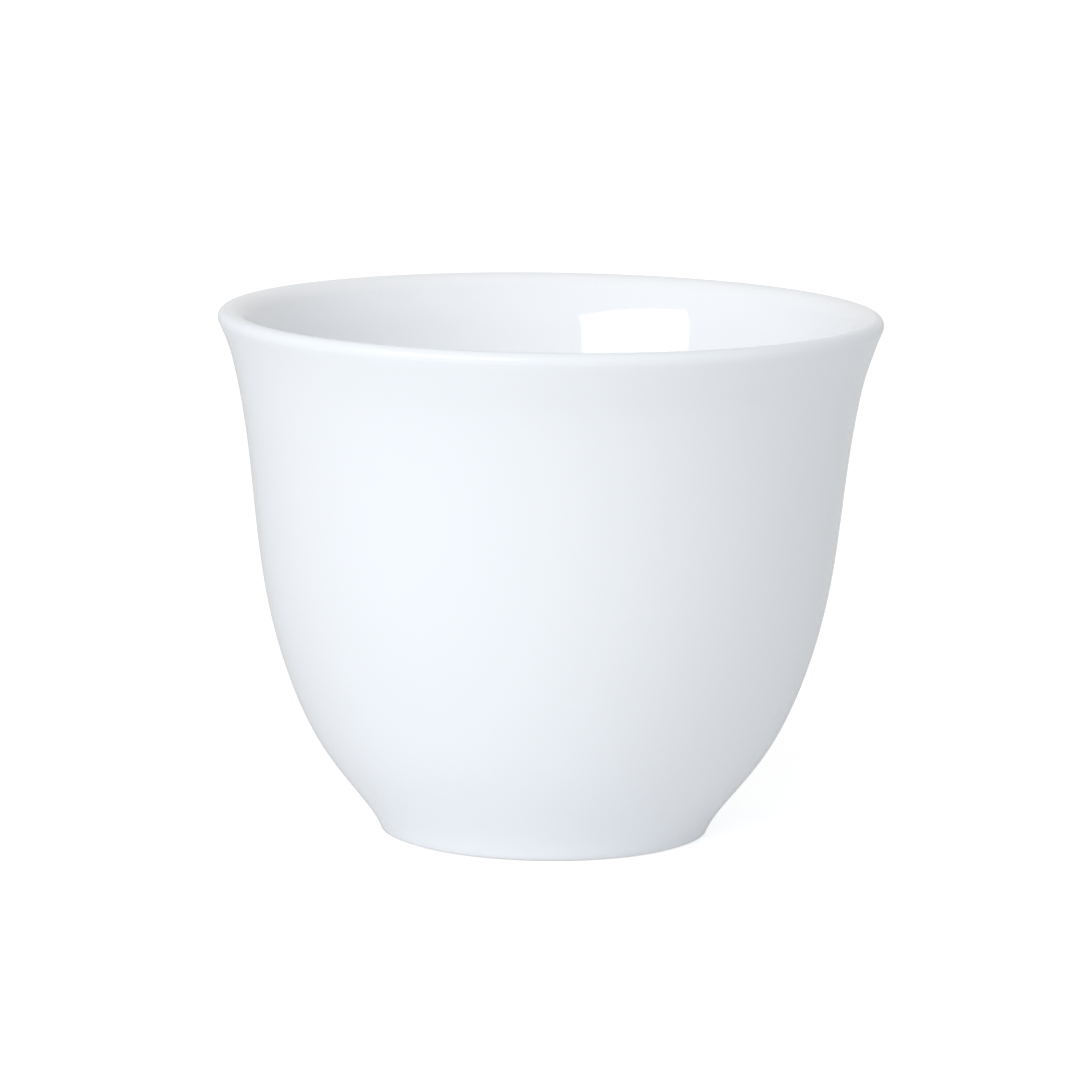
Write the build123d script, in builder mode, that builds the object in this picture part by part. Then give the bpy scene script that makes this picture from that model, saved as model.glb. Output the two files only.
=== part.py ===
"""Arabic coffee cup: a small handle-less porcelain cup, glazed inside, outside and under its floor."""

import os
from math import asin, cos, degrees, radians, sin, tan

from build123d import *

# Overall sizes, in millimetres
RIM_DIAMETER = 65.0         # across the outside of the lip
CUP_HEIGHT = 51.6           # from the table to the crest of the lip
FOOT_DIAMETER = 32.1        # across the glazed foot, carried down to the table

# The outside line from foot to lip: heights, and how far each station stands out or in
FOOT_LEAN = 22.0            # degrees off upright where the foot leaves the table
HEEL_HEIGHT = 4.4           # the hollow between foot and bowl, over the table
HEEL_FLARE = 2.97           # how far the heel stands out past the foot
BOWL_HEIGHT = 8.5           # the low round of the bowl, over the table
BOWL_FLARE = 6.05           # how far it stands out past the foot
BELLY_HEIGHT = 14.3         # the belly, over the table
BELLY_INSET = 7.52          # how far the belly stands in from the rim
SIDE_INSET = 4.63           # the side, half way from belly to neck, in from the rim
NECK_DROP = 16.1            # the neck, the most upright stretch, under the crest of the lip
NECK_INSET = 3.32           # how far the neck stands in from the rim
FLARE_DROP = 6.6            # the flare towards the lip, under its crest
FLARE_INSET = 1.87          # how far the flare stands in from the rim
LIP_LEAN = 27.0             # degrees off upright where both sides of the wall run into the lip

# Walls and coats
LIP_OUTER_RADIUS = 0.8      # the tight round outside the crest of the lip
LIP_INNER_RADIUS = 2.5      # the wide round inside the crest
WALL_THICKNESS = 2.8        # the wall with its two coats, from belly to flare
FLOOR_THICKNESS = 3.6       # the floor with its two coats, at its middle
GLAZE_THICKNESS = 0.3       # each coat of glaze
GLAZE_LINE = 0.1            # where the glaze stops over the table, wiped clean below

# Foot ring
FOOT_RING_WIDTH = 3.2       # the ring at the table, from the foot's edge to the well
FOOT_WELL_DEPTH = 2.2       # the glazed hollow inside the ring
FOOT_WELL_DRAFT = 20.0      # degrees off upright of the ring's inner face
FOOT_EDGE_RADIUS = 0.15     # the ground edges of the ring's land
WELL_GLAZE_RADIUS = 0.8     # glaze pools to this round in the corner of the well

# The hidden side of a coat is a spline through this many steps beside its shown side
COAT_STEPS = 24


def leaning(angle):
    """The upward direction that leans out by an angle off upright."""
    return Vector(sin(radians(angle)), cos(radians(angle)))


def beside(curve, position, gap):
    """The point at a position on a curve, moved to the curve's left by a gap."""
    return curve @ position + (curve % position).rotate(Axis.Z, 90) * gap


def coat_beside(curve, gap):
    """A spline that runs along the left of a curve at a steady gap."""
    points = [beside(curve, step / COAT_STEPS, gap) for step in range(COAT_STEPS + 1)]
    return Spline(*points, tangents=(curve % 0, curve % 1))


# Lip: an outer and an inner round that meet level on the crest
rim_radius = RIM_DIAMETER / 2
crest_radius = rim_radius - LIP_OUTER_RADIUS
outer_lip_centre = Vector(crest_radius, CUP_HEIGHT - LIP_OUTER_RADIUS)
inner_lip_centre = Vector(crest_radius, CUP_HEIGHT - LIP_INNER_RADIUS)
outer_lip_turn = 90 + LIP_LEAN
inner_lip_turn = 90 - LIP_LEAN
lip_outward = leaning(LIP_LEAN).rotate(Axis.Z, -90)

# Outside line of the glaze, from the table up to the lip's outer round
foot_radius = FOOT_DIAMETER / 2
neck_height = CUP_HEIGHT - NECK_DROP
belly = Vector(rim_radius - BELLY_INSET, BELLY_HEIGHT)
side = Vector(rim_radius - SIDE_INSET, (BELLY_HEIGHT + neck_height) / 2)
neck = Vector(rim_radius - NECK_INSET, neck_height)
flare = Vector(rim_radius - FLARE_INSET, CUP_HEIGHT - FLARE_DROP)
outer_line = Spline(
    (foot_radius, 0),
    (foot_radius + HEEL_FLARE, HEEL_HEIGHT),
    (foot_radius + BOWL_FLARE, BOWL_HEIGHT),
    belly,
    side,
    neck,
    flare,
    outer_lip_centre + lip_outward * LIP_OUTER_RADIUS,
    tangents=(leaning(FOOT_LEAN), leaning(LIP_LEAN)),
)

# Inside line of the glaze, from the lip's inner round down to the belly, one wall in from the outside
belly_position = outer_line.param_at_point(belly)
belly_rise = outer_line % belly_position
inner_belly = beside(outer_line, belly_position, WALL_THICKNESS)
inner_line = Spline(
    inner_lip_centre - lip_outward * LIP_INNER_RADIUS,
    beside(outer_line, outer_line.param_at_point(flare), WALL_THICKNESS),
    beside(outer_line, outer_line.param_at_point(neck), WALL_THICKNESS),
    beside(outer_line, outer_line.param_at_point(side), WALL_THICKNESS),
    inner_belly,
    tangents=(-leaning(LIP_LEAN), -belly_rise),
)

# Inside of the bowl: one arc that leaves the belly smoothly and runs flat into the floor
floor_height = FOOT_WELL_DEPTH + FLOOR_THICKNESS
belly_lean = degrees(asin(belly_rise.X))
bowl_radius = (inner_belly.Y - floor_height) / (1 - belly_rise.X)
bowl_centre = Vector(inner_belly.X, inner_belly.Y) - leaning(belly_lean).rotate(Axis.Z, -90) * bowl_radius
bowl_turn = 90 - belly_lean

# Foot ring: it meets the body on a flat seat, level with the ceiling of the well
seat_height = FOOT_WELL_DEPTH + GLAZE_THICKNESS
seat_plane = Plane.XY.offset(seat_height)
glaze_line_plane = Plane.XY.offset(GLAZE_LINE)
land_inner_radius = foot_radius - FOOT_RING_WIDTH
well_slope = tan(radians(FOOT_WELL_DRAFT))
seat_inner_radius = land_inner_radius - seat_height * well_slope

os.makedirs("parts", exist_ok=True)

# Whole pot before glazing: wall, lip, floor and foot in one turned section
with BuildPart() as biscuit:
    with BuildSketch(Plane.XZ):
        with BuildLine():
            outside = coat_beside(outer_line, GLAZE_THICKNESS)
            CenterArc(outer_lip_centre, LIP_OUTER_RADIUS - GLAZE_THICKNESS, -LIP_LEAN, outer_lip_turn)
            CenterArc(inner_lip_centre, LIP_INNER_RADIUS - GLAZE_THICKNESS, 90, inner_lip_turn)
            coat_beside(inner_line, GLAZE_THICKNESS)
            bowl = CenterArc(bowl_centre, bowl_radius + GLAZE_THICKNESS, -belly_lean, -bowl_turn)
            toe = outside @ 0
            Polyline(
                bowl @ 1,
                (0, floor_height - GLAZE_THICKNESS),
                (0, seat_height),
                (seat_inner_radius, seat_height),
                (land_inner_radius, 0),
                (toe.X - toe.Y * tan(radians(FOOT_LEAN)), 0),
                toe,
            )
        make_face()
    revolve(axis=Axis.Z)

# Body: the bowl above the seat
with BuildPart() as porcelain_body:
    add(biscuit.part)
    split(bisect_by=seat_plane, keep=Keep.TOP)
porcelain_body.part.label = "porcelain_body"
export_step(porcelain_body.part, "parts/porcelain_body.step")

# Foot ring: the pot below the seat, with the two edges of its land ground round
with BuildPart() as foot_ring:
    add(biscuit.part)
    split(bisect_by=seat_plane, keep=Keep.BOTTOM)
    land = foot_ring.faces().sort_by(Axis.Z)[0]
    fillet(land.edges(), radius=FOOT_EDGE_RADIUS)
foot_ring.part.label = "foot_ring"
export_step(foot_ring.part, "parts/foot_ring.step")

# Outer glaze: from the crest of the lip down the outside to the glaze line
with BuildPart() as outer_glaze:
    with BuildSketch(Plane.XZ):
        with BuildLine():
            add(outer_line)
            hidden_lip_radius = LIP_OUTER_RADIUS - GLAZE_THICKNESS
            shown_lip = CenterArc(outer_lip_centre, LIP_OUTER_RADIUS, -LIP_LEAN, outer_lip_turn)
            hidden_lip = CenterArc(outer_lip_centre, hidden_lip_radius, -LIP_LEAN, outer_lip_turn)
            Line(shown_lip @ 1, hidden_lip @ 1)
            hidden_line = coat_beside(outer_line, GLAZE_THICKNESS)
            Line(hidden_line @ 0, outer_line @ 0)
        make_face()
    revolve(axis=Axis.Z)
    split(bisect_by=glaze_line_plane, keep=Keep.TOP)
outer_glaze.part.label = "outer_glaze"
export_step(outer_glaze.part, "parts/outer_glaze.step")

# Inner glaze: from the crest of the lip down the inside and across the floor
with BuildPart() as inner_glaze:
    with BuildSketch(Plane.XZ):
        with BuildLine():
            hidden_lip_radius = LIP_INNER_RADIUS - GLAZE_THICKNESS
            shown_lip = CenterArc(inner_lip_centre, LIP_INNER_RADIUS, 90, inner_lip_turn)
            hidden_lip = CenterArc(inner_lip_centre, hidden_lip_radius, 90, inner_lip_turn)
            Line(shown_lip @ 0, hidden_lip @ 0)
            add(inner_line)
            coat_beside(inner_line, GLAZE_THICKNESS)
            shown_bowl = CenterArc(bowl_centre, bowl_radius, -belly_lean, -bowl_turn)
            hidden_bowl = CenterArc(bowl_centre, bowl_radius + GLAZE_THICKNESS, -belly_lean, -bowl_turn)
            Polyline(
                shown_bowl @ 1,
                (0, floor_height),
                (0, floor_height - GLAZE_THICKNESS),
                hidden_bowl @ 1,
            )
        make_face()
    revolve(axis=Axis.Z)
inner_glaze.part.label = "inner_glaze"
export_step(inner_glaze.part, "parts/inner_glaze.step")

# Glaze in the foot well: across its ceiling and down the ring's inner face to the glaze line
with BuildPart() as foot_well_glaze:
    with BuildSketch(Plane.XZ):
        with BuildLine():
            coat_width = GLAZE_THICKNESS / cos(radians(FOOT_WELL_DRAFT))
            shown_corner = seat_inner_radius - coat_width + GLAZE_THICKNESS * well_slope
            Polyline(
                (0, FOOT_WELL_DEPTH),
                (0, seat_height),
                (seat_inner_radius, seat_height),
                (land_inner_radius, 0),
                (land_inner_radius - coat_width, 0),
                (shown_corner, FOOT_WELL_DEPTH),
                close=True,
            )
        make_face()
    revolve(axis=Axis.Z)
    split(bisect_by=glaze_line_plane, keep=Keep.TOP)
    corner = foot_well_glaze.edges().filter_by(GeomType.CIRCLE).group_by(Axis.Z)[1]
    fillet(corner, radius=WELL_GLAZE_RADIUS)
foot_well_glaze.part.label = "foot_well_glaze"
export_step(foot_well_glaze.part, "parts/foot_well_glaze.step")
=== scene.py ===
# %% [markdown]
# # An Arabic coffee cup in glazed porcelain
# The cup is one fired pot under coats of clear glaze. A solid model gives its pieces at their real size,
# and this lesson dresses them: each piece is turned again as a fine mesh and gets the finish that the eye
# sees. The first lines load the solid model as a fixed frame, in metres, with the table at height zero.

# %% Load the frame
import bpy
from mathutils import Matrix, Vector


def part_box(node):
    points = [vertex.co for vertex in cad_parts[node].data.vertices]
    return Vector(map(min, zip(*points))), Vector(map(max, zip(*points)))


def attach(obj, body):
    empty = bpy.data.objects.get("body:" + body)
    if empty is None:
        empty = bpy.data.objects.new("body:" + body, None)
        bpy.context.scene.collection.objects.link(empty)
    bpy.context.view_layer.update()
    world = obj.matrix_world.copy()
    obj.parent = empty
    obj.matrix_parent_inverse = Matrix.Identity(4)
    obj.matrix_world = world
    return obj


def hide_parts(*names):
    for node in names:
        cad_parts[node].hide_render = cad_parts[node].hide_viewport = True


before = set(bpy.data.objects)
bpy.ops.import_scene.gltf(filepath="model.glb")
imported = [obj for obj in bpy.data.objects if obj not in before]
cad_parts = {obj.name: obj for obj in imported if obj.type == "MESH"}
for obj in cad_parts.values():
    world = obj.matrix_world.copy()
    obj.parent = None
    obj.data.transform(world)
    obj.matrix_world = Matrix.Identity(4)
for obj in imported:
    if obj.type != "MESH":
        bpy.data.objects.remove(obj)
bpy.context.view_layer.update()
print("frame nodes:", sorted(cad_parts))

# %% [markdown]
# ## Sizes
# A potter draws half a section in millimetres, so this lesson does too, and meshes are scaled to metres
# last. What the frame can tell is read from it: the rim, the height, the coat's thickness, the lip's
# outer round, the floor, the seat of the foot ring and where the glaze stops. A frame that changes size
# then carries the looks with it.

# %% Read sizes from the frame
from math import cos, pi, radians, sin, tan

import bpy
import numpy as np
from mathutils import Matrix

MM = 0.001


def box_mm(node):
    """Lowest and highest corner of a solid, in millimetres."""
    return np.array(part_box(node)) / MM


outer_low, outer_high = box_mm("outer_glaze")
inner_low, inner_high = box_mm("inner_glaze")
rim_radius, cup_height, glaze_line = outer_high[0], outer_high[2], outer_low[2]
coat = cup_height - box_mm("porcelain_body")[1][2]
lip_outer_radius = rim_radius - inner_high[0]
floor_height = inner_low[2] + coat
seat_height = box_mm("foot_ring")[1][2]
print("rim radius %.2f, height %.2f, coat %.2f mm" % (rim_radius, cup_height, coat))
print("lip round %.2f, floor %.2f, seat %.2f mm" % (lip_outer_radius, floor_height, seat_height))

# %% [markdown]
# ## Drawing the section
# A glossy wall shows every kink in its outline as a broken reflection, so the S-curve has to bend evenly.
# Arcs joined end to end would show their joints as a jump in the bend. A cubic spline through a few
# stations doesn't: its slope and its bend both run on. It is the one curve here that needs more than a
# line of code.


# %% Spline through stations
def lean(angle):
    """The upward direction that leans out by an angle off upright, as (radius, height)."""
    return np.array([sin(radians(angle)), cos(radians(angle))])


def smooth_line(stations, first, last, steps=2000):
    """A cubic spline through stations, with given end directions.

    The distance from station to station is the parameter. The slopes at the stations solve one equation
    each, which says that the bend just before a station equals the bend just after it. Between two
    stations the line is the cubic that has their places and slopes.
    """
    points = np.asarray(stations, dtype=float)
    span = np.linalg.norm(np.diff(points, axis=0), axis=1)
    rate = np.diff(points, axis=0) / span[:, None]
    inner = np.arange(1, len(points) - 1)
    system = np.eye(len(points))
    system[inner, inner - 1] = span[1:]
    system[inner, inner] = 2 * (span[1:] + span[:-1])
    system[inner, inner + 1] = span[:-1]
    slopes = np.vstack([first, 3 * (span[1:, None] * rate[:-1] + span[:-1, None] * rate[1:]), last])
    slopes = np.linalg.solve(system, slopes)
    knots = np.concatenate([[0], np.cumsum(span)])
    place = np.linspace(0, knots[-1], steps)
    k = np.clip(np.searchsorted(knots, place, side="right") - 1, 0, len(span) - 1)
    h = span[k][:, None]
    t = ((place - knots[k]) / span[k])[:, None]
    start = (1 + 2 * t) * (1 - t) ** 2 * points[k] + t * (1 - t) ** 2 * h * slopes[k]
    end = t ** 2 * (3 - 2 * t) * points[k + 1] + t ** 2 * (t - 1) * h * slopes[k + 1]
    return start + end


print("upright leans", lean(0))

# %% [markdown]
# Rounds, even spacing and a line beside another line are the other tools that a turned section needs.
# Each works on a whole array of (radius, height) points at once, so no loop runs over single points. A
# bell curve serves later for all that swells or pools in one place.


# %% Arcs, spacing and offsets
def arc(centre, radius, start, end, steps):
    """Points on a circle from one angle to another, in degrees from level."""
    angle = np.radians(np.linspace(start, end, steps))
    return np.asarray(centre) + radius * np.stack([np.cos(angle), np.sin(angle)], axis=1)


def lengths(line):
    """How far along a line each of its points lies."""
    return np.concatenate([[0], np.cumsum(np.linalg.norm(np.diff(line, axis=0), axis=1))])


def points_at(line, places):
    """Points on a line at given distances from its start."""
    along = lengths(line)
    return np.stack([np.interp(places, along, line[:, 0]), np.interp(places, along, line[:, 1])], axis=1)


def even(line, steps):
    """The same line with its points at even distances."""
    return points_at(line, np.linspace(0, lengths(line)[-1], steps))


def left_of(line):
    """The direction square to a line, to its left, at each point: its own direction turned a quarter."""
    way = np.gradient(line, axis=0)
    way /= np.linalg.norm(way, axis=1)[:, None]
    return np.stack([-way[:, 1], way[:, 0]], axis=1)


def bell(distance, width):
    """One at no distance, falling to nothing over about twice the width: a bell curve."""
    return np.exp(-(distance / width) ** 2)


print("a bell one width away:", round(float(bell(1.0, 1.0)), 2))

# %% [markdown]
# A corner of a section becomes a round with the circle that touches both of its legs. The foot ring's
# ground edges and the pool of glaze in the foot well are such rounds.


# %% Rounded corners
def rounded(before, corner, after, radius, steps):
    """A corner turned into an arc: the circle touches both legs, on the line that halves the angle."""
    a = (before - corner) / np.linalg.norm(before - corner)
    b = (after - corner) / np.linalg.norm(after - corner)
    half = np.arccos(np.clip(a @ b, -1, 1)) / 2
    centre = corner + (a + b) / np.linalg.norm(a + b) * radius / sin(half)
    first = corner + a * radius / tan(half) - centre
    last = corner + b * radius / tan(half) - centre
    turn = np.linspace(0, 1, steps)[:, None]
    between = pi - 2 * half
    return centre + (np.sin((1 - turn) * between) * first + np.sin(turn * between) * last) / sin(between)


square_corner = np.array([(1.0, 0.0), (0.0, 0.0), (0.0, 1.0)])
print("a round of 1 mm in a right angle:", np.round(rounded(*square_corner, 1.0, 3), 2).tolist())

# %% [markdown]
# ## The outside line
# The cup stands on a narrow foot, swells into a bowl, rises almost upright to its neck and flares into
# the lip. Seven stations and the lean at both ends are all that this S-curve needs. The lip is two rounds
# that meet level on the crest: a tight one outside, where the drinker's lip rests, and a wide one that
# rolls inwards.

# %% Outside line
FOOT_RADIUS = 16.05
# Radius and height of the foot, the heel, the low bowl, the belly, the side, the neck and the flare
STATIONS = np.array([
    (FOOT_RADIUS, 0.0),
    (19.02, 4.4),
    (22.1, 8.5),
    (24.98, 14.3),
    (27.87, 24.9),
    (29.18, 35.5),
    (30.63, 45.0),
])
BELLY = 3
FOOT_LEAN = 22.0
LIP_LEAN = 27.0
LIP_INNER_RADIUS = 2.5
lip_outward = np.array([cos(radians(LIP_LEAN)), -sin(radians(LIP_LEAN))])
crest_radius = rim_radius - lip_outer_radius
outer_lip_centre = np.array([crest_radius, cup_height - lip_outer_radius])
inner_lip_centre = np.array([crest_radius, cup_height - LIP_INNER_RADIUS])
lip_start = outer_lip_centre + lip_outward * lip_outer_radius
outside = smooth_line(np.vstack([STATIONS, lip_start]), lean(FOOT_LEAN), lean(LIP_LEAN))
outside_left = left_of(outside)
print("outside line %.1f mm long" % lengths(outside)[-1])

# %% [markdown]
# ## The inside line
# A slip-cast or jiggered wall has about the same thickness all the way, so the inside repeats the outside
# at one wall's distance as far down as the belly. Below that the floor is flat and the corner is one
# generous arc, which leaves no ledge for coffee grounds.

# %% Inside line
WALL = 2.8
BOWL_STEPS = 600
nearest = [np.argmin(np.linalg.norm(outside - station, axis=1)) for station in STATIONS]
wall_points = (outside + outside_left * WALL)[nearest[BELLY:]]
belly_rise = np.array([outside_left[nearest[BELLY]][1], -outside_left[nearest[BELLY]][0]])
belly_lean = np.degrees(np.arcsin(belly_rise[0]))
inner_start = inner_lip_centre - lip_outward * LIP_INNER_RADIUS
inner_wall = smooth_line(np.vstack([inner_start, wall_points[::-1]]), -lean(LIP_LEAN), -belly_rise)
bowl_radius = (wall_points[0][1] - floor_height) / (1 - belly_rise[0])
bowl_centre = np.array([wall_points[0][0] - bowl_radius * belly_rise[1], floor_height + bowl_radius])
bowl = arc(bowl_centre, bowl_radius, -belly_lean, -90, BOWL_STEPS)
inside = np.vstack([inner_wall, bowl[1:], [(0.0, floor_height)]])
print("bowl arc radius %.1f mm, flat floor radius %.1f mm" % (bowl_radius, bowl_centre[0]))

# %% [markdown]
# ## The kiln's own shape
# Porcelain softens in the fire. The rim of a thin cup goes a little oval, the flare under its lip sags
# more on one side than on the other, and the lip slumps into a softer round at the front. A thumb that
# lifted the wet cup leaves a shallow swelling at the back, and the melted glaze keeps long shallow waves.
# A perfect lathe shape would look like plastic: its reflections have no life. Each of these is less than
# a fifth of a millimetre, which nobody sees as a shape, but it bends what the glaze mirrors. All pieces
# move by the same rule, so they stay in touch.

# %% Settling in the fire
# Millimetres, apart from the angles, the share of the sag that is all round and the power of the slump
OVAL = 0.06
SAG, SAG_DROP, SAG_WIDTH = 0.14, 3.5, 1.7
SAG_TOWARDS, SAG_ALL_ROUND = radians(-60.0), 0.15
SLUMP, SLUMP_RISE, SLUMP_FADE, SLUMP_FOCUS = 0.15, 0.5, 4.0, 1.5
THUMB, THUMB_DROP, THUMB_HEIGHT = 0.18, 2.7, 1.7
THUMB_AT, THUMB_SPREAD = radians(93.0), radians(16.0)
WAVE = 0.012
WAVES_ROUND = np.array([5, 7, 8, 11, 13, 17])
WAVE_LENGTH_RANGE = (14.0, 40.0)
WAVE_SEED = 11
wave_draw = np.random.default_rng(WAVE_SEED)
WAVE_LENGTHS = wave_draw.uniform(*WAVE_LENGTH_RANGE, len(WAVES_ROUND))
WAVE_STARTS = wave_draw.uniform(0, 2 * pi, (2, len(WAVES_ROUND)))


def settled(radius, height, angle):
    """The radius after firing, in millimetres.

    Five small terms are added, and fade to nothing on the axis. The oval is the cosine of twice the
    angle times the square of the height. The sag is a share all round plus the cosine of the angle from
    one side, times a bell curve round a height just under the lip. The slump is nothing on the lip's
    round, rises just below it and dies away down the wall, and is a power of a cosine wave that is one
    at the front and nothing at the back. The thumb's mark is a bell curve round the cup times a bell
    curve up the wall. The waves are a mean of products of a cosine round the cup and one up the wall.
    """
    oval = OVAL * np.cos(2 * angle) * (height / cup_height) ** 2
    one_side = SAG_ALL_ROUND + np.cos(angle - SAG_TOWARDS)
    sag = SAG * one_side * bell(cup_height - SAG_DROP - height, SAG_WIDTH)
    under_lip = np.maximum(cup_height - lip_outer_radius - height, 0)
    at_front = ((1 - np.sin(angle)) / 2) ** SLUMP_FOCUS
    slump = SLUMP * at_front * (1 - bell(under_lip, SLUMP_RISE)) * np.exp(-under_lip / SLUMP_FADE)
    beside_thumb = (angle - THUMB_AT + pi) % (2 * pi) - pi
    below_thumb = cup_height - THUMB_DROP - height
    thumb = THUMB * bell(beside_thumb, THUMB_SPREAD) * bell(below_thumb, THUMB_HEIGHT)
    round_cup = np.cos(angle[..., None] * WAVES_ROUND + WAVE_STARTS[0])
    up_wall = np.cos(height[..., None] * 2 * pi / WAVE_LENGTHS + WAVE_STARTS[1])
    waves = WAVE * (round_cup * up_wall).mean(axis=-1)
    moved = oval + sag + slump + thumb + waves
    return radius + moved * np.minimum(radius / FOOT_RADIUS, 1) ** 2


print("waves up the wall, mm:", np.round(WAVE_LENGTHS, 1))

# %% [markdown]
# ## Turning a section into a mesh
# A lathe carries the section round the axis. Blender's Screw modifier does that too, but it would leave
# the kiln's shape and the glaze's depth to be added later. Numpy does all of it in one step: rows are
# section points, columns are turns, and a row on the axis shrinks to a single vertex with a fan of
# triangles.

# %% Turn a section
SEGMENTS = 400
SHARP_ANGLE = 40.0
# A point with a smaller radius lies on the axis
AXIS_RADIUS = 1e-6


def turned(name, section, depth):
    """A mesh made by carrying a section round the axis.

    The point in row i and column j is section point i turned by j steps. A section that never meets the
    axis is a closed loop. The porcelain lies left of the section's direction, so that faces point
    outwards. depth is a number for each section point, stored on the mesh as glaze_depth_and_painted_light.
    """
    section = np.asarray(section, dtype=float)
    on_axis = section[:, 0] < AXIS_RADIUS
    ring = section[~on_axis]
    turn, radius = np.meshgrid(np.arange(SEGMENTS) * 2 * pi / SEGMENTS, ring[:, 0])
    height = np.broadcast_to(ring[:, 1:], radius.shape)
    radius = settled(radius, height, turn)
    grid = np.stack([radius * np.cos(turn), radius * np.sin(turn), height], axis=-1).reshape(-1, 3)
    rows = np.arange(len(grid)).reshape(len(ring), SEGMENTS)
    lower = rows[:-1] if on_axis.any() else rows
    upper = np.roll(rows, -1, axis=0)[: len(lower)]
    quads = np.stack([lower, np.roll(lower, -1, axis=1), np.roll(upper, -1, axis=1), upper], axis=-1)
    faces = quads.reshape(-1, 4).tolist()
    depths = [np.repeat(depth[~on_axis], SEGMENTS)]
    for end, edge in ((0, np.roll(rows[0], -1)), (-1, rows[-1])):
        if on_axis[end]:
            fan = np.stack([np.full(SEGMENTS, len(grid)), edge, np.roll(edge, -1 if end else 1)], axis=-1)
            faces += fan.tolist()
            grid = np.vstack([grid, [(0.0, 0.0, section[end, 1])]])
            depths.append(depth[[end]])
    mesh = bpy.data.meshes.new(name)
    mesh.from_pydata((grid * MM).tolist(), [], faces)
    layer = mesh.attributes.new("glaze_depth_and_painted_light", "FLOAT", "POINT")
    layer.data.foreach_set("value", np.concatenate(depths).astype(np.float32))
    mesh.shade_smooth()
    mesh.set_sharp_from_angle(angle=radians(SHARP_ANGLE))
    print("%s: %d points, %d faces" % (name, len(grid), len(faces)))
    return mesh


print("one turn of the lathe:", SEGMENTS, "steps")

# %% [markdown]
# ## Finishes
# Two materials cover the cup. Glazed porcelain is a white clay under clear glass: the white comes from
# below, and the glass adds a sharp reflection. Bare porcelain, called biscuit, is the same clay without
# the glass. Both are Principled shaders, whose nodes are added by one small function that sets values and
# makes links.


# %% Colour and node helpers
def hex_colour(code):
    """An sRGB hex code as linear red, green, blue and alpha."""
    srgb = np.array([int(code[i:i + 2], 16) for i in (1, 3, 5)]) / 255
    linear = np.where(srgb <= 0.04045, srgb / 12.92, ((srgb + 0.055) / 1.055) ** 2.4)
    return (*linear, 1.0)


def add_node(tree, kind, inputs=None, **settings):
    """Add one node: settings are its own properties, and inputs gives sockets values or links."""
    made = tree.nodes.new("ShaderNode" + kind)
    for name, value in settings.items():
        setattr(made, name, value)
    for socket, value in (inputs or {}).items():
        if isinstance(value, bpy.types.NodeSocket):
            tree.links.new(value, made.inputs[socket])
        else:
            made.inputs[socket].default_value = value
    return made


def new_material(name):
    """An empty node material and its tree."""
    material = bpy.data.materials.new(name)
    material.use_nodes = True
    material.node_tree.nodes.clear()
    return material, material.node_tree


WHITE = hex_colour("#FFFFFF")
print("white in linear light:", np.round(WHITE[:3], 3))

# %% [markdown]
# ## Glazed porcelain
# Porcelain glaze is a hard clear glass, so the index of glass and a very low roughness give its gloss. A
# flat white would look like plastic. Three things in real glaze make the difference: it is bluer where it
# lies thick, its fired skin has a faint ripple and patches of softer sheen, and iron in the clay shows as
# a rare speck. The lip is drunk from and washed more than the rest, so its gloss is a little softer. That
# keeps the picture clean, too: in a mirror gloss the lip shows itself again and again at a grazing angle,
# and a renderer cuts such a chain of reflections off to black.

# %% Glazed porcelain
# The Mix node has sockets called A, B and Result for each kind of data, so colours take theirs by number
MIX_FACTOR, MIX_A, MIX_B, MIX_RESULT = 0, 6, 7, 2
GLASS_IOR = 1.5
THIN_GLAZE = hex_colour("#F8FAFD")
THICK_GLAZE = hex_colour("#E6EDF5")
IRON_SPECK = hex_colour("#C9C6C2")
SPECK_CELL_MM = 3.0
SPECK_RADIUS_MM = 0.16
SPECK_SHARE = 0.1
SHEEN_PATCH_MM, SHEEN_DETAIL = 9.0, 3.0
SHEEN = {"From Min": 0.3, "From Max": 0.7, "To Min": 0.02, "To Max": 0.05}
# Roughness that wear adds on the lip, and how far under the crest it starts and is full
LIP_WEAR = 0.18
LIP_WEAR_START_MM, LIP_WEAR_FULL_MM = 3.2, 1.4
RIPPLE_MM, RIPPLE_DETAIL = 2.4, 1.0
RIPPLE_HEIGHT_MM = 0.001


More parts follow.
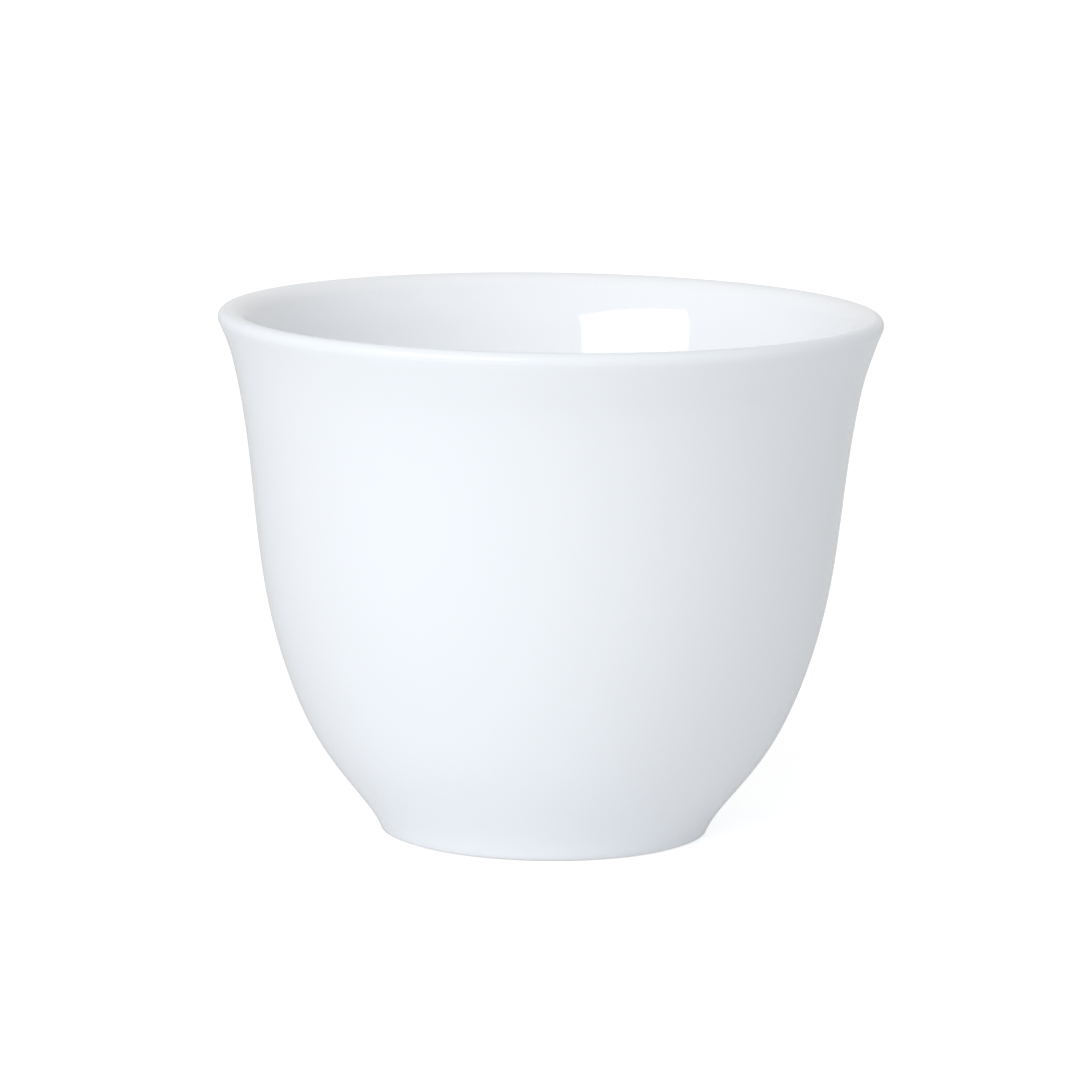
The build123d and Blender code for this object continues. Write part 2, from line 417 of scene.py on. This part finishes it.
def glazed_porcelain():
    """White porcelain under clear fired glaze: a cool white with a mirror gloss, softer on the lip."""
    material, tree = new_material("glazed_porcelain")
    place = add_node(tree, "TexCoord").outputs["Object"]
    # The glaze depth mixes thin white with thick blue; inside the cup the whiter colour is partly painted
    # light
    depth = add_node(tree, "Attribute", attribute_name="glaze_depth_and_painted_light").outputs["Fac"]
    body_shades = {MIX_FACTOR: depth, MIX_A: THIN_GLAZE, MIX_B: THICK_GLAZE}
    body = add_node(tree, "Mix", body_shades, data_type="RGBA").outputs[MIX_RESULT]
    cells = add_node(tree, "TexVoronoi", {"Vector": place, "Scale": 1 / (SPECK_CELL_MM * MM)}).outputs
    near = {"Value": cells["Distance"], "From Min": SPECK_RADIUS_MM / SPECK_CELL_MM, "From Max": 0.0}
    spot = add_node(tree, "MapRange", near).outputs["Result"]
    few = {0: cells["Color"], 1: SPECK_SHARE}
    chosen = add_node(tree, "Math", few, operation="LESS_THAN").outputs["Value"]
    speck = add_node(tree, "Math", {0: spot, 1: chosen}, operation="MULTIPLY").outputs["Value"]
    specked = {MIX_FACTOR: speck, MIX_A: body, MIX_B: IRON_SPECK}
    colour = add_node(tree, "Mix", specked, data_type="RGBA").outputs[MIX_RESULT]
    wide = {"Vector": place, "Scale": 1 / (SHEEN_PATCH_MM * MM), "Detail": SHEEN_DETAIL}
    patches = add_node(tree, "TexNoise", wide).outputs["Fac"]
    gloss = add_node(tree, "MapRange", {"Value": patches, **SHEEN}).outputs["Result"]
    height = add_node(tree, "SeparateXYZ", {"Vector": place}).outputs["Z"]
    wear_start = (cup_height - LIP_WEAR_START_MM) * MM
    wear_full = (cup_height - LIP_WEAR_FULL_MM) * MM
    lip = {"Value": height, "From Min": wear_start, "From Max": wear_full, "To Max": LIP_WEAR}
    worn = add_node(tree, "MapRange", lip).outputs["Result"]
    roughness = add_node(tree, "Math", {0: gloss, 1: worn}, operation="ADD").outputs["Value"]
    fine = {"Vector": place, "Scale": 1 / (RIPPLE_MM * MM), "Detail": RIPPLE_DETAIL}
    ripple = add_node(tree, "TexNoise", fine).outputs["Fac"]
    skin = {"Height": ripple, "Strength": 1.0, "Distance": RIPPLE_HEIGHT_MM * MM}
    bump = add_node(tree, "Bump", skin).outputs["Normal"]
    glass = {"Base Color": colour, "Roughness": roughness, "Normal": bump, "IOR": GLASS_IOR}
    shader = add_node(tree, "BsdfPrincipled", glass)
    add_node(tree, "OutputMaterial", {"Surface": shader.outputs["BSDF"]})
    return material


glaze_finish = glazed_porcelain()
print("material:", glaze_finish.name, "with", len(glaze_finish.node_tree.nodes), "nodes")

# %% [markdown]
# ## Biscuit porcelain
# The foot's land is ground flat after firing, so that the cup doesn't scratch the table. It stays bare:
# dull, very fine-grained, a little warmer than the glaze, and rubbed grey in places by trays and saucers.
# Fine noise as a bump gives the grain, and a wide soft noise mixes the rubbed grey into the clay's white.

# %% Biscuit porcelain
CLAY_WHITE = hex_colour("#EFEDE9")
RUBBED_GREY = hex_colour("#CBC8C2")
GRAIN_MM, GRAIN_DETAIL = 0.25, 2.0
GRAIN_HEIGHT_MM = 0.012
RUB_MM, RUB_DETAIL = 3.5, 4.0
RUBS = {"From Min": 0.5, "From Max": 0.75, "To Min": 0.0, "To Max": 0.35}
BISCUIT_ROUGHNESS = 0.62


def biscuit_porcelain():
    """Bare fired porcelain: dull, a little warm, grained like the finest sandpaper and rubbed grey."""
    material, tree = new_material("biscuit_porcelain")
    place = add_node(tree, "TexCoord").outputs["Object"]
    wide = {"Vector": place, "Scale": 1 / (RUB_MM * MM), "Detail": RUB_DETAIL}
    patches = add_node(tree, "TexNoise", wide).outputs["Fac"]
    rubbed = add_node(tree, "MapRange", {"Value": patches, **RUBS}).outputs["Result"]
    shades = {MIX_FACTOR: rubbed, MIX_A: CLAY_WHITE, MIX_B: RUBBED_GREY}
    colour = add_node(tree, "Mix", shades, data_type="RGBA").outputs[MIX_RESULT]
    fine = {"Vector": place, "Scale": 1 / (GRAIN_MM * MM), "Detail": GRAIN_DETAIL}
    grain = add_node(tree, "TexNoise", fine).outputs["Fac"]
    skin = {"Height": grain, "Strength": 1.0, "Distance": GRAIN_HEIGHT_MM * MM}
    bump = add_node(tree, "Bump", skin).outputs["Normal"]
    clay = {"Base Color": colour, "Roughness": BISCUIT_ROUGHNESS, "Normal": bump, "IOR": GLASS_IOR}
    shader = add_node(tree, "BsdfPrincipled", clay)
    add_node(tree, "OutputMaterial", {"Surface": shader.outputs["BSDF"]})
    return material


biscuit_finish = biscuit_porcelain()
print("material:", biscuit_finish.name, "with", len(biscuit_finish.node_tree.nodes), "nodes")

# %% [markdown]
# ## The coats of glaze
# Glaze goes on as a wet coat and melts to glass. It is wiped off the foot before firing, and its edge
# there melts to a small roll. So each coat is a closed thin shell: its hidden side lies on the porcelain,
# and its shown side stands off by the coat's thickness, which rises from nothing at the rolled edge.
# Painting glaze on one solid would be simpler, but the step at the foot is what tells a glazed cup from a
# painted one.


# %% Piece maker
def new_object(name, data):
    """An object for a mesh, a lamp or a camera, linked into the scene."""
    made = bpy.data.objects.new(name, data)
    bpy.context.scene.collection.objects.link(made)
    return made


def place_piece(name, section, depth, material, node):
    """Turn a section, dress it and let it stand for the solid of the same piece."""
    mesh = turned(name, section, depth)
    mesh.materials.append(material)
    made = new_object(name, mesh)
    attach(made, "root")
    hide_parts(node)


ROLL = 0.06
ROLL_STEPS = 8


def rolled_edge(along):
    """Thickness of a coat by distance from its edge: a quarter ellipse on the roll, then the full coat."""
    return coat * np.sqrt(np.clip(1 - (1 - np.minimum(along / ROLL, 1)) ** 2, 0, 1))


print("coat half way up its roll: %.2f mm" % rolled_edge(np.array(ROLL / 2)))

# %% [markdown]
# ### Outside
# The cup is dipped, so the outer coat is the thick one. It runs from its rolled edge at the foot up to
# the crest of the lip, and back down on the porcelain. Its points are even on the wall and close together
# on the roll and round the lip, where the bend is tight.

# %% Outer glaze
OUTSIDE_STEPS = 100
LIP_STEPS = 42
# Hidden sides have one point for this many shown ones
HIDDEN_SKIP = 3
# Glaze depth runs from 0, thin and white, to 1, thick and blue
WALL_DEPTH = 0.45
coated = outside[outside[:, 1] >= glaze_line]
on_roll = ROLL * np.linspace(0, 1, ROLL_STEPS, endpoint=False) ** 2
past_roll = np.linspace(ROLL, lengths(coated)[-1], OUTSIDE_STEPS)
glazed = points_at(coated, np.concatenate([on_roll, past_roll]))
glazed_left = left_of(glazed)
bare = glazed + glazed_left * coat
shown = bare - glazed_left * rolled_edge(lengths(glazed))[:, None]
lip_out = arc(outer_lip_centre, lip_outer_radius, -LIP_LEAN, 90, LIP_STEPS)
lip_under = arc(outer_lip_centre, lip_outer_radius - coat, 90, -LIP_LEAN, LIP_STEPS // HIDDEN_SKIP)
outer_section = np.vstack([shown, lip_out[1:], lip_under, bare[::-HIDDEN_SKIP][1:-1]])
outer_depth = np.full(len(outer_section), WALL_DEPTH)
place_piece("glaze_outside", outer_section, outer_depth, glaze_finish, "outer_glaze")

# %% [markdown]
# ### Inside
# The inner coat is poured in and out again, so it lies thinner and whiter. Its whiter colour is partly
# painted light: it also stands in for the light that shines through the thin wall into the cup. It starts
# on the same crest, where nobody looks for a seam, follows the wide inner round of the lip, the wall and
# the arc, and ends on the axis in the middle of the floor. Glaze that ran down the wall pools in the
# corner of the floor.

# %% Inner glaze
INSIDE_STEPS = 100
# Near the thin white end: a thin poured coat, and painted light for light that shines through the wall
INNER_DEPTH_AND_PAINTED_LIGHT = 0.04
CORNER_POOL, CORNER_RISE_MM, CORNER_POOL_MM = 0.4, 1.2, 1.6
inner_lip_end = 180 - LIP_LEAN
hidden_inner_radius = LIP_INNER_RADIUS - coat
lip_in = arc(inner_lip_centre, LIP_INNER_RADIUS, 90, inner_lip_end, LIP_STEPS)
lip_in_under = arc(inner_lip_centre, hidden_inner_radius, inner_lip_end, 90, LIP_STEPS // HIDDEN_SKIP)
inner_shown = even(inside, INSIDE_STEPS)
inner_bare = inner_shown + left_of(inner_shown) * coat
inner_bare[-1] = (0.0, floor_height - coat)
inner_section = np.vstack([inner_bare[::-HIDDEN_SKIP], lip_in_under[1:], lip_in, inner_shown[1:]])
from_pool = inner_section[:, 1] - floor_height - CORNER_RISE_MM
inner_depth_and_painted_light = INNER_DEPTH_AND_PAINTED_LIGHT + CORNER_POOL * bell(from_pool, CORNER_POOL_MM)
place_piece("glaze_inside", inner_section, inner_depth_and_painted_light, glaze_finish, "inner_glaze")

# %% [markdown]
# ### Under the foot
# The hollow inside the foot ring is glazed too, because coffee and water get there. The coat covers its
# ceiling and the ring's inner face, pools to a round in the corner, and stops at the same height as the
# outer coat.

# %% Glaze in the foot well
LAND_INNER_RADIUS = 12.85
WELL_DRAFT = 20.0
WELL_ROUND = 0.8
WELL_POOL, WELL_POOL_MM = 0.4, 1.5
FACE_STEPS, ROUND_STEPS, CEILING_STEPS = 40, 24, 30
FACE_SKIP = 4
well_slope = tan(radians(WELL_DRAFT))
well_depth = seat_height - coat
ring_corner = np.array([LAND_INNER_RADIUS - seat_height * well_slope, seat_height])
ring_edge = np.array([LAND_INNER_RADIUS - glaze_line * well_slope, glaze_line])
face_out = np.array([cos(radians(WELL_DRAFT)), sin(radians(WELL_DRAFT))])
face_bare = np.linspace(ring_corner, ring_edge, FACE_STEPS)
from_edge = np.linalg.norm(face_bare - ring_edge, axis=1)
face_shown = face_bare - face_out * rolled_edge(from_edge)[:, None]
coat_width = coat / cos(radians(WELL_DRAFT))
shown_corner = np.array([ring_corner[0] + coat * well_slope - coat_width, well_depth])
well_middle = np.array([0.0, well_depth])
corner_round = rounded(well_middle, shown_corner, ring_edge - face_out * coat, WELL_ROUND, ROUND_STEPS)
ceiling = np.linspace(well_middle, corner_round[0], CEILING_STEPS)
# The face starts half a coat under the round, because closer points would make slivers
below_round = face_shown[face_shown[:, 1] < corner_round[-1][1] - coat / 2]
seat_middle = np.array([(0.0, seat_height)])
face_hidden = face_bare[::-FACE_SKIP][1:]
well_section = np.vstack([ceiling, corner_round[1:], below_round, face_hidden, seat_middle])
from_corner = np.linalg.norm(well_section - shown_corner, axis=1)
well_glaze = WALL_DEPTH + WELL_POOL * bell(from_corner, WELL_POOL_MM)
place_piece("glaze_foot_well", well_section, well_glaze, glaze_finish, "foot_well_glaze")

# %% [markdown]
# ## The porcelain under the glaze
# The body is hidden under its coats, and only the foot ring shows bare: its ground land and the fine line
# that was wiped clean. Both are turned from the same lines, one coat in from the shown ones, so that the
# glaze sits on them with no gap. The two edges of the land are ground round, as a potter does with a wet
# stone.

# %% Foot ring
LAND_EDGE = 0.15
FOOT_SIDE_STEPS = 40
bare_outside = outside + outside_left * coat
toe = bare_outside[0] - lean(FOOT_LEAN) * bare_outside[0][1] / cos(radians(FOOT_LEAN))
land_inner = np.array([LAND_INNER_RADIUS, 0.0])
seat_edge = np.array([np.interp(seat_height, bare_outside[:, 1], bare_outside[:, 0]), seat_height])
below_seat = bare_outside[bare_outside[:, 1] < seat_height]
foot_side = even(np.vstack([toe, below_seat, seat_edge]), FOOT_SIDE_STEPS)
outer_round = rounded(land_inner, toe, foot_side[1], LAND_EDGE, ROUND_STEPS)
# The side, too, starts a little way past its round
above_round = foot_side[foot_side[:, 1] > outer_round[-1][1] + LAND_EDGE / 4]
inner_round = rounded(ring_corner, land_inner, toe, LAND_EDGE, ROUND_STEPS)
ring_section = np.vstack([[ring_corner], inner_round, outer_round, above_round])
no_glaze = np.zeros(len(ring_section))
place_piece("bare_foot_ring", ring_section, no_glaze, biscuit_finish, "foot_ring")

# %% [markdown]
# The pot itself never shows, but it is what a cut or a chip would open, so it is turned whole: from the
# seat of the foot ring up under the outer coat, over the lip and down under the inner coat to the middle
# of the floor.

# %% Porcelain pot
POT_STEPS = 100
POT_SKIP = 2
pot_outside = even(np.vstack([seat_edge, bare_outside[bare_outside[:, 1] > seat_height]]), POT_STEPS)
pot_outer_lip = lip_under[::-1]
pot_inner_lip = lip_in_under[::-1]
pot_inside = np.vstack([pot_inner_lip[1:], inner_bare[1::POT_SKIP]])
pot_section = np.vstack([seat_middle, pot_outside, pot_outer_lip[1:], pot_inside])
no_glaze = np.zeros(len(pot_section))
place_piece("porcelain_pot", pot_section, no_glaze, biscuit_finish, "porcelain_body")

# %% [markdown]
# ## Surroundings
# A white cup on white is drawn by its light alone. Three large soft panels light it from above: one over
# the camera, one on the right, and one behind on the left. Lamps would do that too, but each would add its
# own mirror image to the glaze. As a glow in the surroundings, a panel lights the clay and stays out of
# the gloss. To the camera the surroundings are plain white, and the glaze mirrors them a shade greyer.

# %% Surroundings
# Azimuth and elevation in degrees, and brightness
PANELS = {
    "over_camera": (-17.0, 36.0, 1.66),
    "right": (90.0, 42.0, 1.04),
    "rear_left": (-135.0, 42.0, 1.0),
}
PANEL_FOCUS = 5.0
SEEN_WHITE = 1.0
MIRRORED_WHITE = 0.8
# The Mix node's sockets for plain numbers
FLOAT_A, FLOAT_B, FLOAT_RESULT = 2, 3, 0


def way_to(azimuth, elevation):
    """The direction from the cup to a place: azimuth 0 is at the camera and 90 on its right."""
    level = cos(radians(elevation))
    across, away = sin(radians(azimuth)) * level, -cos(radians(azimuth)) * level
    return np.array([across, away, sin(radians(elevation))])


def shown_level(tree, plain, to_camera, to_gloss):
    """A level by kind of ray: for camera and transmission rays, for glossy rays, and for all others."""
    rays = add_node(tree, "LightPath").outputs
    sight = {0: rays["Is Camera Ray"], 1: rays["Is Transmission Ray"]}
    seen = add_node(tree, "Math", sight, operation="MAXIMUM").outputs["Value"]
    gloss = {MIX_FACTOR: rays["Is Glossy Ray"], FLOAT_A: plain, FLOAT_B: to_gloss}
    mirrored = add_node(tree, "Mix", gloss).outputs[FLOAT_RESULT]
    view = {MIX_FACTOR: seen, FLOAT_A: mirrored, FLOAT_B: to_camera}
    return add_node(tree, "Mix", view).outputs[FLOAT_RESULT]


world = bpy.data.worlds.new("pale_surroundings")
bpy.context.scene.world = world
world.use_nodes = True
sky_tree = world.node_tree
sky_tree.nodes.clear()
looking = add_node(sky_tree, "TexCoord").outputs["Generated"]
glow_sum = 0.0
for azimuth, elevation, brightness in PANELS.values():
    towards = {0: looking, 1: way_to(azimuth, elevation).tolist()}
    facing = add_node(sky_tree, "VectorMath", towards, operation="DOT_PRODUCT").outputs["Value"]
    ahead = add_node(sky_tree, "Math", {0: facing, 1: 0.0}, operation="MAXIMUM").outputs["Value"]
    lobe = add_node(sky_tree, "Math", {0: ahead, 1: PANEL_FOCUS}, operation="POWER").outputs["Value"]
    added = {0: lobe, 1: brightness, 2: glow_sum}
    glow_sum = add_node(sky_tree, "Math", added, operation="MULTIPLY_ADD").outputs["Value"]
strength = shown_level(sky_tree, glow_sum, SEEN_WHITE, MIRRORED_WHITE)
background = add_node(sky_tree, "Background", {"Color": WHITE, "Strength": strength})
add_node(sky_tree, "OutputWorld", {"Surface": background.outputs["Background"]})
print("panels:", ", ".join(PANELS))

# %% [markdown]
# ## Table
# The cup stands on a white acrylic sheet with some light coming through from below, the usual table for
# such a picture. That light lifts the shade under the bowl. The camera sees more of it, so that the sheet
# goes white like the surroundings, and its own dull white keeps the cup's soft shadow. The glaze mirrors
# less of it, and this draws the thin darker line along the sides of the cup.

# %% Table
# Half the table's width in metres, and how far under the foot it lies
TABLE_REACH = 3.0
TABLE_GAP_MM = 0.02
SHEET_GREY = hex_colour("#CBCBCB")
TABLE_GLOW = 0.315
TABLE_GLOW_SEEN = 0.65
TABLE_GLOW_MIRRORED = 0.2
table_finish, table_tree = new_material("white_acrylic_sheet")
glow_level = shown_level(table_tree, TABLE_GLOW, TABLE_GLOW_SEEN, TABLE_GLOW_MIRRORED)
sheet = add_node(table_tree, "BsdfDiffuse", {"Color": SHEET_GREY}).outputs["BSDF"]
lit = {"Color": WHITE, "Strength": glow_level}
glow = add_node(table_tree, "Emission", lit).outputs["Emission"]
both = add_node(table_tree, "AddShader", {0: sheet, 1: glow}).outputs["Shader"]
add_node(table_tree, "OutputMaterial", {"Surface": both})
corners = np.array([(-1, -1, 0), (1, -1, 0), (1, 1, 0), (-1, 1, 0)]) * TABLE_REACH
table_mesh = bpy.data.meshes.new("table")
table_mesh.from_pydata((corners - (0, 0, TABLE_GAP_MM * MM)).tolist(), [], [(0, 1, 2, 3)])
table_mesh.materials.append(table_finish)
table = new_object("table", table_mesh)
print("table: %.0f m across" % (2 * TABLE_REACH))

# %% [markdown]
# ## Softbox
# One large softbox stands to the left of the camera, low enough that the far inside wall mirrors it as a
# bright four-sided patch. An area lamp is that softbox. Its strength is worked out from the brightness of
# its cloth, because that is what the glaze mirrors: a lamp's watts are its brightness times its area
# times pi.

# %% Softbox
# Degrees and metres
SOFTBOX_AZIMUTH = -37.0
SOFTBOX_DISTANCE = 0.8
SOFTBOX_WIDTH = 0.70
SOFTBOX_LOW, SOFTBOX_HIGH = 0.22, 0.58
SOFTBOX_BRIGHTNESS = 3.55


def standing(right, up, back, place):
    """A matrix that puts an object at a place, with its three axes as given."""
    axes = np.eye(4)
    axes[:3, :4] = np.stack([right, up, back, place], axis=1)
    return Matrix(axes.tolist())


softbox = bpy.data.lights.new("softbox", "AREA")
softbox.shape = "RECTANGLE"
softbox.size = SOFTBOX_WIDTH
softbox.size_y = SOFTBOX_HIGH - SOFTBOX_LOW
softbox.energy = SOFTBOX_BRIGHTNESS * pi * softbox.size * softbox.size_y
lamp = new_object("softbox", softbox)
lamp_way = way_to(SOFTBOX_AZIMUTH, 0.0)
lamp_across = np.array([-lamp_way[1], lamp_way[0], 0.0])
lamp_place = lamp_way * SOFTBOX_DISTANCE + (0, 0, (SOFTBOX_LOW + SOFTBOX_HIGH) / 2)
lamp.matrix_world = standing(lamp_across, (0.0, 0.0, 1.0), lamp_way, lamp_place)
lamp.visible_camera = False
print("softbox energy %.2f W" % softbox.energy)

# %% [markdown]
# ## Camera
# The picture is taken from about 0.6 m with a long lens, a little above the rim, so that the mouth is a
# narrow ellipse and a strip of the inside shows. The camera's axes are built from its elevation and a
# slight roll and written as one matrix, which keeps every number in plain sight.

# %% Camera
LENS_MM = 201.35
SENSOR_MM = 36.0
# Metres and degrees
CLIP_START = 0.01
CAMERA_DISTANCE = 0.5946
CAMERA_ELEVATION = 9.3
CAMERA_ROLL = 0.82
CAMERA_TARGET = np.array([-0.000755, 0.0, 0.028853])
back = way_to(0.0, CAMERA_ELEVATION)
level_right = np.array([1.0, 0.0, 0.0])
level_up = np.cross(back, level_right)
roll = radians(CAMERA_ROLL)
camera_right = cos(roll) * level_right + sin(roll) * level_up
camera_up = cos(roll) * level_up - sin(roll) * level_right
camera_place = CAMERA_TARGET + back * CAMERA_DISTANCE
camera_data = bpy.data.cameras.new("camera")
camera_data.lens = LENS_MM
camera_data.sensor_width = SENSOR_MM
camera_data.clip_start = CLIP_START
camera = new_object("camera", camera_data)
camera.matrix_world = standing(camera_right, camera_up, back, camera_place)
bpy.context.scene.camera = camera
bpy.context.scene.view_settings.view_transform = "Standard"
print("camera at", np.round(camera_place, 3), "m")
